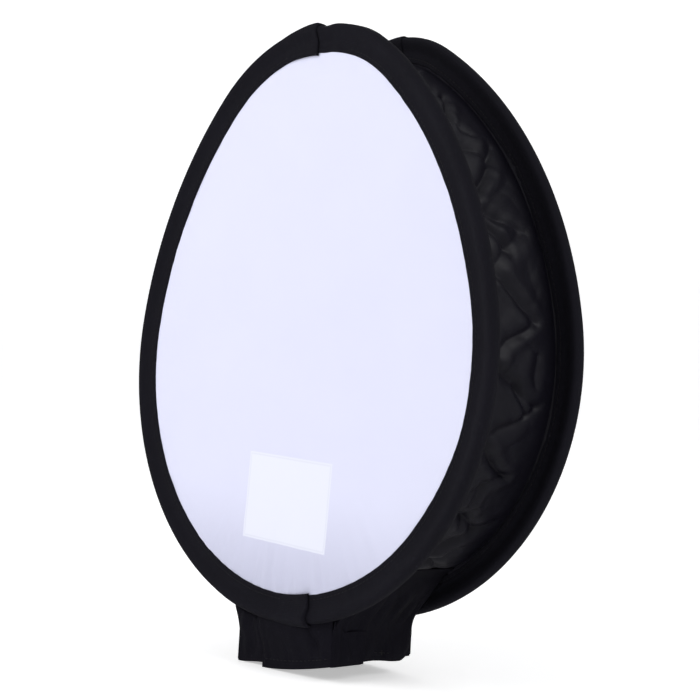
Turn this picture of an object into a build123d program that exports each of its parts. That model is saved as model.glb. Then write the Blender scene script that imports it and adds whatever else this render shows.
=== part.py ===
"""Collapsible egg-shaped softbox for a hand-held flash.

Two flat-steel hoops, each in a folded tape binding, are joined by a slack fabric
wall. The front hoop carries a white diffuser, the rear hoop a black panel with a
silver lining, and a fabric neck below them slips over the flash head. A
hook-and-loop flap closes the front of the neck.

Frame: millimetres, +Z up, -Y is the diffuser side, and the origin is at the
middle of the neck's foot.
"""

import os
from math import asin, atan2, cos, degrees, radians, sin, sqrt

from build123d import *

# Egg outline of the hoops, measured to the outside of the binding. The rear hoop's
# narrow end is the longer and the more pointed of the two.
BOTTOM_RADIUS = 150.0
SIDE_RADIUS = 246.5
SHOULDER_ANGLE = 9.5  # degrees above the horizontal, where the side arcs begin
FRONT_CROWN_HEIGHT = 192.0  # above the centre of the bottom arc
REAR_CROWN_HEIGHT = 202.0

# Spacing of the hoops and the height of the neck below them.
HOOP_SPACING = 69.0
NECK_HEIGHT = 28.0

# Flat spring-steel hoop and its crimped joining sleeve.
HOOP_WIDTH = 3.5
HOOP_THICKNESS = 0.8
HOOP_INSET = 2.0
FERRULE_LENGTH = 32.0
FERRULE_WALL = 0.4
FERRULE_CLEARANCE = 0.05
FRONT_FERRULE_ANGLE = 81.0
REAR_FERRULE_ANGLE = 91.0

# Folded tape binding: a pocket round the hoop that narrows to a sewn flat band.
BINDING_WIDTH = 16.0
POCKET_HALF = 3.8
POCKET_SHOULDER = 2.6
BAND_HALF = 1.1
BAND_START = 10.5
TAPE_THICKNESS = 0.7
JOIN_GAP = 0.05
FRONT_JOIN_ANGLES = (60.0, 86.0)
REAR_JOIN_ANGLES = (84.0, 98.0)
FOOT_JOIN_ANGLES = (-90.0, -79.5)

# Cloth.
CLOTH = 0.4
SEAM_ALLOWANCE_START = 9.0
WALL_INSET = 16.4
WALL_THICKNESS = 0.5
LINING_INSET = 17.0
LINING_THICKNESS = 0.3
LINING_GAP = 0.2
PANEL_EDGE_INSET = 9.0
PATCH_WIDTH = 70.0
PATCH_HEIGHT = 50.0
PATCH_DROP = 82.0  # centre of the patch below the centre of the bottom arc
PATCH_TILT = 3.2  # degrees off level, as it is sewn in

# Neck.
NECK_WIDTH = 78.0
NECK_FACE = 4.7  # from the hoop's mid plane to the outside of the neck's near wall
NECK_WALL = 1.0
NECK_LIFT = 2.3  # of the hems that stop short of the flap's
GUSSET_WALL = 0.8
GUSSET_GAP = 0.05
FLARE_START = 27.8  # height above which the neck's sides curve out to the wall
FLARE_REACH = 64.0  # half width across the two places where they meet it
ELASTIC_WIDTH = 12.0
ELASTIC_THICKNESS = 1.0
ELASTIC_RISE = 2.0
FLAP_LEFT = -16.0
FLAP_HEIGHT = 27.5
FLAP_THICKNESS = 1.0
FLAP_ROOT_BACK = -6.5  # where the sewn root ends along the neck's side
GRIP_TAPE_THICKNESS = 0.35
GRIP_TAPE_WIDTH = 24.0
GRIP_TAPE_HEIGHT = 18.0
GRIP_TAPE_LEFT = -12.0
GRIP_TAPE_BOTTOM = 4.8

CENTRE_Z = NECK_HEIGHT + BOTTOM_RADIUS
HALF_SPACING = HOOP_SPACING / 2


def egg_arcs(crown_height):
    """An outline's four tangent arcs, as (centre x, centre z, radius, start, end) in degrees."""
    shift = SIDE_RADIUS - BOTTOM_RADIUS
    side_x = -shift * cos(radians(SHOULDER_ANGLE))
    side_z = -shift * sin(radians(SHOULDER_ANGLE))
    short = SIDE_RADIUS - crown_height
    crown_z = (shift**2 - short**2) / (2 * (short + side_z))
    crown_radius = crown_height - crown_z
    crown_angle = degrees(atan2(crown_z - side_z, -side_x))
    side_height = CENTRE_Z + side_z
    return [
        (0.0, CENTRE_Z, BOTTOM_RADIUS, -180.0 - SHOULDER_ANGLE, SHOULDER_ANGLE),
        (side_x, side_height, SIDE_RADIUS, SHOULDER_ANGLE, crown_angle),
        (0.0, CENTRE_Z + crown_z, crown_radius, crown_angle, 180.0 - crown_angle),
        (-side_x, side_height, SIDE_RADIUS, 180.0 - crown_angle, 180.0 - SHOULDER_ANGLE),
    ]


FRONT_ARCS = egg_arcs(FRONT_CROWN_HEIGHT)
REAR_ARCS = egg_arcs(REAR_CROWN_HEIGHT)
BOTTOM_ARC = FRONT_ARCS[0]


def sweep_round(section, arc, y_mid, facing, first=None, last=None):
    """Turns a section about one arc's axis and adds it to the part being built.

    A section's x is the inset from the outline and its y the distance from the hoop's
    mid plane towards the other hoop. Facing is 1 for the front hoop and -1 for the rear.
    """
    x, z, radius, arc_first, arc_last = arc
    first = arc_first if first is None else first
    last = arc_last if last is None else last
    centre = Vector(x, y_mid, z)
    outward = Vector(cos(radians(first)), 0, sin(radians(first)))
    across = (outward * -1).cross(Vector(0, facing, 0))
    plane = Plane(origin=centre + outward * radius, x_dir=outward * -1, z_dir=across)
    revolve(plane * section, axis=Axis(centre, (0, -1, 0)), revolution_arc=last - first)


def ring(section, arcs, y_mid, facing):
    """The section carried round a whole egg."""
    for arc in arcs:
        sweep_round(section, arc, y_mid, facing)


def outline(*points):
    """A section with straight sides."""
    with BuildSketch() as section:
        with BuildLine():
            Polyline(*points, close=True)
        make_face()
    return section.sketch


def rectangle(inset, width, low, high):
    """A rectangular section, from inset to inset + width."""
    return outline((inset, low), (inset + width, low), (inset + width, high), (inset, high))


def folded_tape(inner, outer):
    """The section of a tape folded over the hoop, between two offsets of its outside."""
    with BuildSketch() as section:
        with BuildLine():
            ends = []
            for grow in (inner, outer):
                low = [
                    (BINDING_WIDTH, -BAND_HALF - grow),
                    (BAND_START, -BAND_HALF - grow),
                    (POCKET_SHOULDER, -POCKET_HALF - grow),
                ]
                high = [(inset, -across) for inset, across in reversed(low)]
                Polyline(*low)
                ThreePointArc(low[-1], (-grow, 0), high[0])
                Polyline(*high)
                ends.append((low[0], high[-1]))
            Line(ends[0][0], ends[1][0])
            Line(ends[0][1], ends[1][1])
        make_face()
    return section.sketch


def sleeve_section():
    """The section of the sleeve crimped round the hoop's two ends."""
    outer = FERRULE_CLEARANCE + FERRULE_WALL
    with BuildSketch() as section:
        with Locations((HOOP_INSET + HOOP_THICKNESS / 2, 0)):
            Rectangle(HOOP_THICKNESS + 2 * outer, HOOP_WIDTH + 2 * outer)
            Rectangle(
                HOOP_THICKNESS + 2 * FERRULE_CLEARANCE,
                HOOP_WIDTH + 2 * FERRULE_CLEARANCE,
                mode=Mode.SUBTRACT,
            )
    return section.sketch


def egg_face(arcs, inset, y):
    """The egg's outline drawn in by inset, as a face at y."""
    with BuildSketch(Plane.XZ.offset(-y)) as sheet:
        with BuildLine():
            for x, z, radius, first, last in arcs:
                CenterArc((x, z), radius - inset, first, last - first)
        make_face()
    return sheet.sketch


def egg_sheet(arcs, inset, y_low, thickness):
    """A flat sheet with the egg's outline drawn in by inset, from y_low towards +Y."""
    extrude(egg_face(arcs, inset, y_low), amount=-thickness)


def egg_tube(inset, thickness):
    """Cloth that runs from the front hoop's outline to the rear one's, between their flanges."""
    reach = HALF_SPACING - CLOTH
    for grow, mode in ((0, Mode.ADD), (thickness, Mode.SUBTRACT)):
        ends = [
            egg_face(FRONT_ARCS, inset + grow, -reach).face(),
            egg_face(REAR_ARCS, inset + grow, reach).face(),
        ]
        loft(ends, ruled=True, mode=mode)


def panel_box(x_low, x_high, y_low, y_high, z_low, z_high, mode=Mode.ADD):
    """A box given by its corners."""
    with Locations(((x_low + x_high) / 2, (y_low + y_high) / 2, (z_low + z_high) / 2)):
        Box(x_high - x_low, y_high - y_low, z_high - z_low, mode=mode)


def finish(builder, name):
    """Labels a finished piece and writes it as one STEP file."""
    builder.part.label = name
    export_step(builder.part, f"parts/{name}.step")
    print(name, round(builder.part.volume), builder.part.bounding_box().size)


def hoop_set(side, arcs, y_mid, facing, ferrule_angle, join_angles):
    """A steel hoop, its joining sleeve, its binding and the overlap where the binding closes."""
    crown_arc = arcs[2]
    hoop_section = rectangle(HOOP_INSET, HOOP_THICKNESS, -HOOP_WIDTH / 2, HOOP_WIDTH / 2)
    with BuildPart() as hoop:
        ring(hoop_section, arcs, y_mid, facing)
    finish(hoop, f"{side}_hoop")

    half_turn = degrees(FERRULE_LENGTH / 2 / crown_arc[2])
    ends = (ferrule_angle - half_turn, ferrule_angle + half_turn)
    with BuildPart() as ferrule:
        sweep_round(sleeve_section(), crown_arc, y_mid, facing, *ends)
    finish(ferrule, f"{side}_hoop_ferrule")

    with BuildPart() as binding:
        ring(folded_tape(-TAPE_THICKNESS, 0.0), arcs, y_mid, facing)
    finish(binding, f"{side}_binding")

    with BuildPart() as join:
        sweep_round(
            folded_tape(JOIN_GAP, JOIN_GAP + TAPE_THICKNESS), crown_arc, y_mid, facing, *join_angles
        )
    finish(join, f"{side}_binding_crown_join")


def foot_join():
    """The second tape overlap, on the front hoop above the neck."""
    with BuildPart() as join:
        sweep_round(
            folded_tape(JOIN_GAP, JOIN_GAP + TAPE_THICKNESS),
            BOTTOM_ARC,
            -HALF_SPACING,
            1,
            *FOOT_JOIN_ANGLES,
        )
    finish(join, "front_binding_foot_join")


def sheets():
    """The diffuser and its hot-spot patch, and the rear panel and its silver lining."""
    with BuildPart() as diffuser:
        egg_sheet(FRONT_ARCS, PANEL_EDGE_INSET, -HALF_SPACING - CLOTH, CLOTH)
    finish(diffuser, "diffuser")

    patch_y = -HALF_SPACING + JOIN_GAP + LINING_THICKNESS / 2
    patch_place = Location((0, patch_y, CENTRE_Z - PATCH_DROP), (0, PATCH_TILT, 0))
    with BuildPart() as patch:
        with Locations(patch_place):
            Box(PATCH_WIDTH, LINING_THICKNESS, PATCH_HEIGHT)
    finish(patch, "hot_spot_patch")

    with BuildPart() as rear_panel:
        egg_sheet(REAR_ARCS, PANEL_EDGE_INSET, HALF_SPACING, CLOTH)
    finish(rear_panel, "rear_panel")

    lining_edge = LINING_INSET + LINING_THICKNESS + LINING_GAP
    lining_y = HALF_SPACING - JOIN_GAP - LINING_THICKNESS
    with BuildPart() as rear_lining:
        egg_sheet(REAR_ARCS, lining_edge, lining_y, LINING_THICKNESS)
    finish(rear_lining, "rear_lining")


def wall():
    """The slack wall between the hoops and its silver lining, both open over the neck."""
    gap_half = FLARE_REACH + GUSSET_WALL
    flange_width = WALL_INSET + WALL_THICKNESS - SEAM_ALLOWANCE_START
    flange = rectangle(SEAM_ALLOWANCE_START, flange_width, 0.0, CLOTH)
    neck_space = (-gap_half, gap_half, -HOOP_SPACING, HOOP_SPACING, 0, CENTRE_Z / 2)
    with BuildPart() as side_wall:
        egg_tube(WALL_INSET, WALL_THICKNESS)
        ring(flange, FRONT_ARCS, -HALF_SPACING, 1)
        ring(flange, REAR_ARCS, HALF_SPACING, -1)
        panel_box(*neck_space, mode=Mode.SUBTRACT)
    finish(side_wall, "side_wall")

    reach = 2 * BOTTOM_RADIUS
    lining_half = HALF_SPACING - LINING_THICKNESS - 2 * LINING_GAP
    room = (-reach, reach, -lining_half, lining_half, 0, 2 * reach)
    with BuildPart() as side_lining:
        egg_tube(LINING_INSET, LINING_THICKNESS)
        panel_box(*room, mode=Mode.INTERSECT)
        panel_box(*neck_space, mode=Mode.SUBTRACT)
    finish(side_lining, "side_lining")


def neck_panel(name, facing, foot):
    """A wall of the neck: a flat cloth that rises behind the hoop and turns in to its seam."""
    half = NECK_WIDTH / 2
    outside, inside = NECK_FACE, NECK_FACE + NECK_WALL
    turn_start, turn_end = WALL_INSET, WALL_INSET + NECK_WALL
    section = outline(
        (SEAM_ALLOWANCE_START, 0.0),
        (turn_end, 0.0),
        (turn_end, inside),
        (0.0, inside),
        (0.0, outside),
        (turn_start, outside),
        (turn_start, CLOTH),
        (SEAM_ALLOWANCE_START, CLOTH),
    )
    swing = 2 * degrees(asin(half / BOTTOM_RADIUS))
    y_mid = -facing * HALF_SPACING
    faces = sorted((y_mid + facing * outside, y_mid + facing * inside))
    chord = CENTRE_Z - sqrt((BOTTOM_RADIUS - BINDING_WIDTH / 2) ** 2 - half**2)
    with BuildPart() as panel:
        sweep_round(section, BOTTOM_ARC, y_mid, facing, -90 - swing, -90 + swing)
        trim = (-half, half, -HOOP_SPACING, HOOP_SPACING, 0, CENTRE_Z)
        panel_box(*trim, mode=Mode.INTERSECT)
        panel_box(-half, half, *faces, foot, chord)
    finish(panel, name)


def neck_sides():
    """The neck's two gussets, flared to meet the wall, each with an elastic inside its foot."""
    half = NECK_WIDTH / 2 + GUSSET_GAP
    reach = HALF_SPACING - NECK_FACE
    inner_radius = BOTTOM_RADIUS - WALL_INSET - WALL_THICKNESS
    out = FLARE_REACH - half
    rise = CENTRE_Z - sqrt(inner_radius**2 - FLARE_REACH**2) - FLARE_START
    flare_radius = (out**2 + rise**2) / (2 * out)
    turn = degrees(asin(rise / flare_radius))
    elastic_reach = reach - NECK_WALL - LINING_GAP
    near = half - GUSSET_GAP
    heights = (NECK_LIFT + ELASTIC_RISE, NECK_LIFT + ELASTIC_RISE + ELASTIC_WIDTH)
    for side, hand in (("left", -1), ("right", 1)):
        with BuildPart() as gusset:
            across = sorted((hand * half, hand * (half + GUSSET_WALL)))
            panel_box(*across, -reach, reach, NECK_LIFT, FLARE_START)
            centre = Vector(hand * (half + flare_radius), 0, FLARE_START)
            with BuildSketch(Plane(origin=centre, x_dir=(-hand, 0, 0), z_dir=(0, 0, 1))) as foot:
                with Locations((flare_radius - GUSSET_WALL / 2, 0)):
                    Rectangle(GUSSET_WALL, 2 * reach)
            revolve(foot.sketch, axis=Axis(centre, (0, hand, 0)), revolution_arc=turn)
        finish(gusset, f"neck_{side}_gusset")

        with BuildPart() as elastic:
            across = sorted((hand * near, hand * (near - ELASTIC_THICKNESS)))
            panel_box(*across, -elastic_reach, elastic_reach, *heights)
        finish(elastic, f"neck_{side}_elastic")


def neck_closure():
    """The closing flap, its sewn root, and the hook and loop tapes that hold it shut."""
    face = -HALF_SPACING + NECK_FACE
    loop_y = (face - JOIN_GAP - GRIP_TAPE_THICKNESS, face - JOIN_GAP)
    hook_y = (loop_y[0] - JOIN_GAP - GRIP_TAPE_THICKNESS, loop_y[0] - JOIN_GAP)
    flap_y = (hook_y[0] - FLAP_THICKNESS, hook_y[0])
    tape = (GRIP_TAPE_LEFT, GRIP_TAPE_LEFT + GRIP_TAPE_WIDTH)
    heights = (GRIP_TAPE_BOTTOM, GRIP_TAPE_BOTTOM + GRIP_TAPE_HEIGHT)
    root_x = NECK_WIDTH / 2 + 2 * GUSSET_GAP + GUSSET_WALL
    fold = root_x + FLAP_THICKNESS
    with BuildPart() as loop_tape:
        panel_box(*tape, *loop_y, *heights)
    finish(loop_tape, "neck_loop_tape")

    with BuildPart() as hook_tape:
        panel_box(*tape, *hook_y, *heights)
    finish(hook_tape, "flap_hook_tape")

    with BuildPart() as flap:
        panel_box(FLAP_LEFT, fold, *flap_y, 0, FLAP_HEIGHT)
    finish(flap, "neck_flap")

    with BuildPart() as root:
        panel_box(root_x, fold, flap_y[1] + JOIN_GAP, FLAP_ROOT_BACK, 0, FLAP_HEIGHT)
    finish(root, "neck_flap_root")
    print("flap fold at", fold, sum(flap_y) / 2)


os.makedirs("parts", exist_ok=True)
hoop_set("front", FRONT_ARCS, -HALF_SPACING, 1, FRONT_FERRULE_ANGLE, FRONT_JOIN_ANGLES)
hoop_set("rear", REAR_ARCS, HALF_SPACING, -1, REAR_FERRULE_ANGLE, REAR_JOIN_ANGLES)
foot_join()
sheets()
wall()
neck_panel("neck_front_panel", 1, NECK_LIFT)
neck_panel("neck_rear_panel", -1, 0.0)
neck_sides()
neck_closure()
for arcs in (FRONT_ARCS, REAR_ARCS):
    print("outline arcs", [tuple(round(value, 2) for value in arc) for arc in arcs])
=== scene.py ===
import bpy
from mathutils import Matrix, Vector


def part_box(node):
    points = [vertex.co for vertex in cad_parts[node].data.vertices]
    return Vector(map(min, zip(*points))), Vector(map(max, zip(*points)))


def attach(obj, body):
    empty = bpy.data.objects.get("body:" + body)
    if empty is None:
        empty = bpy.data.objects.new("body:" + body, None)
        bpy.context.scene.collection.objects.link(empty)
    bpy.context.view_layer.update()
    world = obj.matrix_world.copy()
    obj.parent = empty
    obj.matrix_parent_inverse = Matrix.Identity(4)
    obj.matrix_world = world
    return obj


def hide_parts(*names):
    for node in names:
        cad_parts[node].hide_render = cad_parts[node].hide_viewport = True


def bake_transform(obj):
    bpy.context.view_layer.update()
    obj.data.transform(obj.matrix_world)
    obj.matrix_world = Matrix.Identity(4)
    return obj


bl_info = {
    "name": "Collapsible Flash Softbox",
    "version": (1, 0, 0),
    "blender": (4, 5, 0),
    "location": "View3D > Sidebar > Softbox",
    "description": "Dresses the softbox's two steel hoops in tape, cloth and stitching",
    "category": "Object",
}

import math

import bpy
import numpy as np
from bpy.props import FloatProperty, FloatVectorProperty, PointerProperty
from mathutils import Matrix, Vector

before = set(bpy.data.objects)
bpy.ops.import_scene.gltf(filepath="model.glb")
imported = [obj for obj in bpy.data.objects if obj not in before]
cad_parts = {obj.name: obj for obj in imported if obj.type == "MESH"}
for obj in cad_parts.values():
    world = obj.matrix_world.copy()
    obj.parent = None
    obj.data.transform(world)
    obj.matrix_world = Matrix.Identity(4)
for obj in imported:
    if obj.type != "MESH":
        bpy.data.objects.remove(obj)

MM = 0.001

# The egg outlines, from the bindings' boxes and the two sizes that the boxes can't give.
RIM_LOW, RIM_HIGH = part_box("front_binding")
REAR_LOW, REAR_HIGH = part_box("rear_binding")
BOTTOM_RADIUS = (RIM_HIGH.x - RIM_LOW.x) / 2
CENTRE_Z = RIM_LOW.z + BOTTOM_RADIUS
SIDE_RADIUS = 246.5 * MM
SHOULDER_ANGLE = math.radians(9.5)
FRONT_Y = (RIM_LOW.y + RIM_HIGH.y) / 2
REAR_Y = (REAR_LOW.y + REAR_HIGH.y) / 2
DEPTH = REAR_Y - FRONT_Y

# The folded tape's section, as insets from the outline and half thicknesses.
BAND_WIDTH = 16 * MM
BAND_START = 10.5 * MM
NOSE = 2.6 * MM
POCKET_HALF = 3.8 * MM
BAND_HALF = 1.1 * MM
STITCH_INSET = 13.2 * MM
PUCKER_SPACING = 7.5 * MM

# How far in the panels end, and how thick each cloth is drawn.
PANEL_INSET = 12.5 * MM
LINING_INSET = 17.6 * MM
DIFFUSER_THICKNESS = 0.25 * MM
WALL_THICKNESS = 0.3 * MM
LINING_THICKNESS = 0.2 * MM
NECK_THICKNESS = 0.5 * MM
FLAP_THICKNESS = 0.7 * MM

# Where the wall, the neck and its flap lie.
WALL_INSET = 16.6 * MM
FLARE_REACH = 64 * MM
NECK_HALF = 39.2 * MM
NECK_FACE = 29.9 * MM
NECK_LIFT = 2.3 * MM
NECK_BACK = 2.2 * MM
CORNER_RADIUS = 2.7 * MM
CORNER_CUT = 0.8 * MM
FLAP_TOP = 34.5 * MM
GATHER_SPACING = 7.0  # millimetres, as the folds are worked out in them
FLAP_LOW, FLAP_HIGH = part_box("neck_flap")
ROOT_LOW, ROOT_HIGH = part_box("neck_flap_root")
HOOK_LOW, HOOK_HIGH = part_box("flap_hook_tape")
LOOP_LOW, LOOP_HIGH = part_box("neck_loop_tape")
PATCH_LOW, PATCH_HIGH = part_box("hot_spot_patch")
PATCH_CENTRE = (PATCH_LOW + PATCH_HIGH) / 2
PATCH_HALF = (35.0 * MM, 25.0 * MM)
PATCH_TILT = math.radians(3.2)

# Looks of the cloths: the weave's pitch in millimetres, its depth in metres.
LINT_COLOUR = (0.35, 0.35, 0.38, 1)
# Painted shade: the colour multiplied into the gaps between woven threads.
PAINTED_GAP_SHADE = (0.35, 0.35, 0.35, 1)
SEAM_SHADE = (0.5, 0.5, 0.6, 1)
# Painted shade: the grey multiplied into the diffuser low down over the neck.
PAINTED_NECK_SHADE = (0.76, 0.76, 0.77, 1)
WHITE_NYLON = {
    "pitch": (0.3, 0.3), "depth": 0.02 * MM, "roughness": 0.7, "gloss": 0.25, "unevenness": 0.02,
    "lint": 0.0,
}
TAPE = {
    "pitch": (0.55, 0.9), "depth": 0.12 * MM, "roughness": 0.82, "gloss": 0.08, "unevenness": 0.22,
    "lint": 0.05, "sheen": 0.01,
}
BLACK_NYLON = {
    "pitch": (0.3, 0.3), "depth": 0.03 * MM, "roughness": 0.47, "gloss": 0.25, "unevenness": 0.15,
    "lint": 0.02,
}
NECK_CLOTH = {
    "pitch": (0.38, 0.38), "depth": 0.06 * MM, "roughness": 0.74, "gloss": 0.06,
    "unevenness": 0.25, "lint": 0.04,
}
SILVER_CLOTH = {
    "pitch": (0.3, 0.3), "depth": 0.03 * MM, "roughness": 0.42, "gloss": 0.5, "unevenness": 0.1,
    "lint": 0.0, "metallic": 0.85,
}
WEBBING = {
    "pitch": (0.8, 0.5), "depth": 0.2 * MM, "roughness": 0.8, "gloss": 0.2, "unevenness": 0.15,
    "lint": 0.05,
}
CLOTHS = {
    "tape": ("Binding tape", TAPE),
    "wall": ("Wall nylon", BLACK_NYLON),
    "neck": ("Neck cloth", NECK_CLOTH),
    "lining": ("Silver lining", SILVER_CLOTH),
    "patch": ("Patch nylon", WHITE_NYLON),
}


class Egg:
    """One hoop's outline: tangent arcs from its lowest point round to it again."""

    def __init__(self, crown_height):
        shift = SIDE_RADIUS - BOTTOM_RADIUS
        side_x, side_z = -shift * math.cos(SHOULDER_ANGLE), -shift * math.sin(SHOULDER_ANGLE)
        short = SIDE_RADIUS - crown_height
        crown_z = (shift**2 - short**2) / (2 * (short + side_z))
        turn = math.atan2(crown_z - side_z, -side_x)
        self.top = CENTRE_Z + crown_height
        self.arcs = [
            (0, CENTRE_Z, BOTTOM_RADIUS, -math.pi / 2, SHOULDER_ANGLE),
            (side_x, CENTRE_Z + side_z, SIDE_RADIUS, SHOULDER_ANGLE, turn),
            (0, CENTRE_Z + crown_z, crown_height - crown_z, turn, math.pi - turn),
            (-side_x, CENTRE_Z + side_z, SIDE_RADIUS, math.pi - turn, math.pi - SHOULDER_ANGLE),
            (0, CENTRE_Z, BOTTOM_RADIUS, math.pi - SHOULDER_ANGLE, 1.5 * math.pi),
        ]
        self.ends = np.cumsum([0] + [radius * (b - a) for _, _, radius, a, b in self.arcs])
        self.girth = self.ends[-1]

    def at(self, s):
        """Points and outward normals at distances s along the outline from its lowest point."""
        s = np.mod(np.asarray(s, float), self.girth)
        x, z, nx, nz = (np.zeros_like(s) for _ in range(4))
        for (cx, cz, radius, start, _), low, high in zip(self.arcs, self.ends, self.ends[1:]):
            on = (s >= low) & (s <= high)
            angle = start + (s[on] - low) / radius
            nx[on], nz[on] = np.cos(angle), np.sin(angle)
            x[on], z[on] = cx + radius * nx[on], cz + radius * nz[on]
        return x, z, nx, nz

    def station(self, arc, degrees):
        """The distance along the outline of a point given by its angle on one arc."""
        return self.ends[arc] + self.arcs[arc][2] * (math.radians(degrees) - self.arcs[arc][3])

    def half_width(self, z, inset):
        """Half the width of the egg, drawn in by inset, at each height."""
        side_x, side_z, radius, _, turn = self.arcs[1]
        crown_z, crown = self.arcs[2][1:3]
        low = CENTRE_Z + (BOTTOM_RADIUS - inset) * math.sin(SHOULDER_ANGLE)
        high = side_z + (radius - inset) * math.sin(turn)
        bottom = np.sqrt(np.maximum((BOTTOM_RADIUS - inset) ** 2 - (z - CENTRE_Z) ** 2, 0))
        side = side_x + np.sqrt(np.maximum((radius - inset) ** 2 - (z - side_z) ** 2, 0))
        top = np.sqrt(np.maximum((crown - inset) ** 2 - (z - crown_z) ** 2, 0))
        return np.where(z < low, bottom, np.where(z < high, side, top))

    def depth_inside(self, x, z):
        """How far a point is inside the outline, nearly."""
        side_x, side_z, radius, _, turn = self.arcs[1]
        crown_z, crown = self.arcs[2][1:3]
        bottom = BOTTOM_RADIUS - np.hypot(x, z - CENTRE_Z)
        side = radius - np.hypot(np.abs(x) - side_x, z - side_z)
        top = crown - np.hypot(x, z - crown_z)
        low = z < CENTRE_Z + BOTTOM_RADIUS * math.sin(SHOULDER_ANGLE)
        high = z > crown_z + crown * math.sin(turn)
        return np.where(low, bottom, np.where(high, np.minimum(top, side), side))


FRONT = Egg(RIM_HIGH.z - CENTRE_Z)
REAR = Egg(REAR_HIGH.z - CENTRE_Z)


# ------------------------------------------------------------------ cloth shapes


def smooth(x, low, high):
    """0 below low, 1 above high and an even curve between."""
    t = np.clip((x - low) / (high - low), 0, 1)
    return t * t * (3 - 2 * t)


def ripple(u, v, seed, period=0):
    """Smooth noise, about -1 to 1, on unit cells; period closes it along u."""
    angle = np.random.default_rng(seed).uniform(0, 2 * math.pi, (128, 128))
    iu, iv = np.floor(u).astype(int), np.floor(v).astype(int)
    fu, fv = u - iu, v - iv

    def corner(du, dv):
        column = (iu + du) % period if period else iu + du
        a = angle[column % 128, (iv + dv) % 128]
        return np.cos(a) * (fu - du) + np.sin(a) * (fv - dv)

    su, sv = (t * t * t * (t * (6 * t - 15) + 10) for t in (fu, fv))
    low = corner(0, 0) * (1 - su) + corner(1, 0) * su
    high = corner(0, 1) * (1 - su) + corner(1, 1) * su
    return 1.5 * (low * (1 - sv) + high * sv)


def crease(u, v, turn, long, short, seed):
    """Sharp valleys and rounded ridges that run at an angle, as in crumpled cloth."""
    c, s = math.cos(turn), math.sin(turn)
    field = ripple((u * c + v * s) / long, (v * c - u * s) / short, seed)
    return 2 * np.sqrt(field**2 + 0.0025) - 0.7


def smooth_object(name, vertices, faces):
    """A smooth-shaded object from its vertices and faces."""
    mesh = bpy.data.meshes.new(name)
    mesh.from_pydata(vertices, [], faces)
    mesh.polygons.foreach_set("use_smooth", np.ones(len(faces), bool))
    mesh.update()
    thing = bpy.data.objects.new(name, mesh)
    bpy.context.collection.objects.link(thing)
    return thing


def grid_object(name, points, across, along, wrap_along=False, wrap_across=False):
    """A mesh over a grid of points, with a map called cloth that is in metres of cloth."""
    rows, columns = points.shape[:2]
    r, c = np.meshgrid(
        np.arange(rows if wrap_along else rows - 1),
        np.arange(columns if wrap_across else columns - 1),
        indexing="ij",
    )
    corners = [(r, c), (r + 1, c), (r + 1, c + 1), (r, c + 1)]
    faces = np.stack([(a % rows) * columns + b % columns for a, b in corners], -1)
    thing = smooth_object(name, points.reshape(-1, 3).tolist(), faces.reshape(-1, 4).tolist())
    layer = thing.data.uv_layers.new(name="cloth")
    uv = np.stack([np.stack([along[a], across[b]], -1) for a, b in corners], 2)
    layer.data.foreach_set("uv", uv.astype(np.float32).ravel())
    return thing


def thicken(thing, thickness):
    """Gives a sheet its thickness, half on each side, with closed edges."""
    solid = thing.modifiers.new("cloth thickness", "SOLIDIFY")
    solid.thickness = thickness
    solid.offset = 0
    solid.use_quality_normals = True
    return thing


def dress(thing, material, body=None, stands_for=()):
    """Gives a piece its material, its body and the nodes it stands for."""
    thing.data.materials.clear()
    thing.data.materials.append(material)
    if stands_for:
        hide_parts(*stands_for)
    if body:
        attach(thing, body)
    return thing


def follow_wall(thing):
    """Bakes the piece's placement into its mesh."""
    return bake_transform(thing)


def section_half(inset):
    """Half the thickness of the folded tape at each inset from the outline."""
    nose = POCKET_HALF * np.sqrt(np.maximum(1 - ((NOSE - inset) / NOSE) ** 2, 0))
    share = np.clip((inset - NOSE) / (BAND_START - NOSE), 0, 1)
    taper = BAND_HALF + (POCKET_HALF - BAND_HALF) * (0.5 + 0.5 * np.cos(math.pi * share))
    end = 1 - 0.45 * smooth(inset, BAND_WIDTH - 0.5 * MM, BAND_WIDTH)
    return np.where(inset < NOSE, nose, taper) * end


def tape_section():
    """Insets and signs of the folded tape's section, from its front edge round to its rear."""
    band = np.array([16, 15.7, 15.2, 14.4, 13.7, 13.2, 12.7, 12, 11.2, 10.4, 9.4, 8.4, 7.2, 6, 4.8, 3.7])
    nose = NOSE / MM * (1 - np.sin(np.linspace(0, math.pi / 2, 7)[:-1]))
    inset = np.concatenate([band, nose]) * MM
    face = np.ones(len(inset))
    return np.concatenate([inset, [0], inset[::-1]]), np.concatenate([-face, [0], face])


def tape_lie(egg, s, inset, seed, puckers):
    """How far the tape's band leaves its plane, and how much thicker or thinner it is."""

    def around(spacing, across, own_seed):
        cells = round(egg.girth / spacing)
        return ripple(s / egg.girth * cells, across, own_seed, cells)

    inner = smooth(inset, 5 * MM, BAND_WIDTH)
    short = around(PUCKER_SPACING, inset / (26 * MM), seed)
    wide = around(55 * MM, inset * 0, seed + 1)
    patchy = smooth(around(38 * MM, inset * 0, seed + 2), -0.5, 0.7)
    lie = inner * (0.45 * MM * puckers * short * patchy + 0.7 * MM * wide)
    cells = 2 * round(egg.girth / PUCKER_SPACING)
    fold = ripple(s / egg.girth * cells, inset / (9 * MM), seed + 3, cells)
    swell = 0.12 * MM * puckers * fold * smooth(inset, 0, 4 * MM)
    return lie, swell


def tape_rim(egg, s):
    """How far the front tape's rim stands in or out where the hoop's ends are joined."""
    if egg is not FRONT:
        return 0 * s
    from_crown = egg.girth / 2 - s
    dip = -1.5 * MM * np.exp(-(((from_crown - 13 * MM) / (6 * MM)) ** 2))
    hump = 0.9 * MM * np.exp(-(((from_crown - 50 * MM) / (15 * MM)) ** 2))
    return dip + hump


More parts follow.
